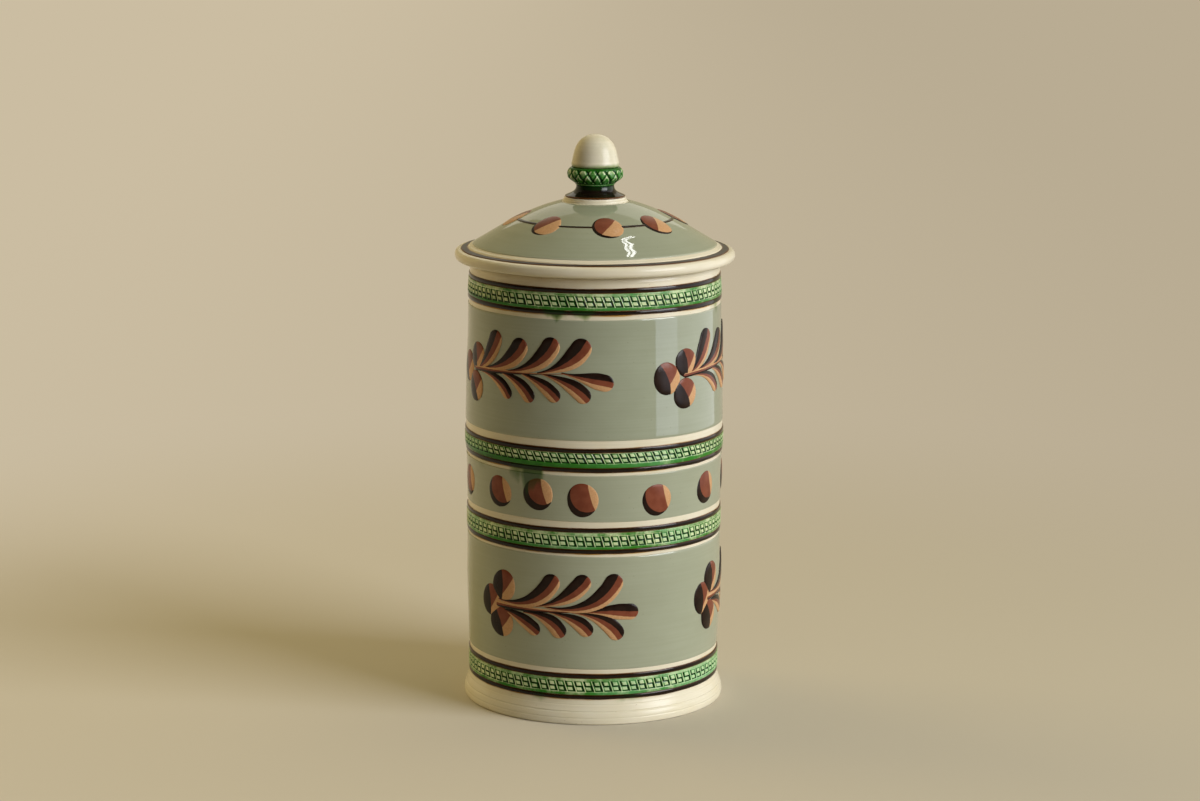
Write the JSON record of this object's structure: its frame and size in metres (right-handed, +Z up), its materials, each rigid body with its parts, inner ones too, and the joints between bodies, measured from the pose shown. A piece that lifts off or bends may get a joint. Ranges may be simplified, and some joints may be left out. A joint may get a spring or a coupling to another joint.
{
  "type": "mochaware canister",
  "caption": "Straight-sided lidded earthenware canister with turned slip bands, rouletted key borders, poured twigs and eyes, and an overhanging domed lid lifted by an acorn knob.",
  "frame": {"origin": "centre of the foot, on the surface the jar stands on", "axes": "+Z up the jar's turning axis to the knob, -Y to the front that the picture shows, +X to its right"},
  "size_m": [0.127, 0.127, 0.2588],
  "materials": {
    "cream_glaze": "clear lead-style gloss over cream earthenware",
    "sage_slip": "grey-green slip under clear gloss",
    "dark_slip": "brown-black slip under clear gloss",
    "green_glaze": "copper-green glaze pooled in rouletted relief",
    "drop_slip": "dark, rust and tan slips poured side by side under clear gloss"
  },
  "bodies": {
    "canister": {"canister_body": "cream_glaze", "slip_field_lower": "sage_slip", "slip_field_middle": "sage_slip", "slip_field_upper": "sage_slip", "roulette_band_1": "green_glaze", "roulette_band_2": "green_glaze", "roulette_band_3": "green_glaze", "roulette_band_4": "green_glaze", "dark_line_1": "dark_slip", "dark_line_2": "dark_slip", "dark_line_3": "dark_slip", "dark_line_4": "dark_slip", "dark_line_5": "dark_slip", "dark_line_6": "dark_slip", "dark_line_7": "dark_slip", "dark_line_8": "dark_slip", "twig_upper_1": "drop_slip", "twig_upper_2": "drop_slip", "twig_upper_3": "drop_slip", "twig_lower_1": "drop_slip", "twig_lower_2": "drop_slip", "twig_lower_3": "drop_slip", "cats_eye_1": "drop_slip", "cats_eye_2": "drop_slip", "cats_eye_3": "drop_slip", "cats_eye_4": "drop_slip", "cats_eye_5": "drop_slip", "cats_eye_6": "drop_slip", "cats_eye_7": "drop_slip", "cats_eye_8": "drop_slip", "cats_eye_9": "drop_slip", "cats_eye_10": "drop_slip", "cats_eye_11": "drop_slip", "cats_eye_12": "drop_slip", "cats_eye_13": "drop_slip"},
    "lid": {"lid_dome": "cream_glaze", "lid_rim_line": "dark_slip", "lid_slip_field": "sage_slip", "lid_garland_line": "dark_slip", "lid_eye_1": "drop_slip", "lid_eye_2": "drop_slip", "lid_eye_3": "drop_slip", "lid_eye_4": "drop_slip", "lid_eye_5": "drop_slip", "lid_eye_6": "drop_slip", "lid_eye_7": "drop_slip", "lid_eye_8": "drop_slip", "knob_foot": "dark_slip", "knob_cup": "green_glaze", "knob_acorn": "cream_glaze"}
  },
  "joints": [
    {"name": "lid_lift", "type": "slide", "parent": "canister", "child": "lid", "axis": [0, 0, 1], "range_m": [0, 0.12]}
  ]
}
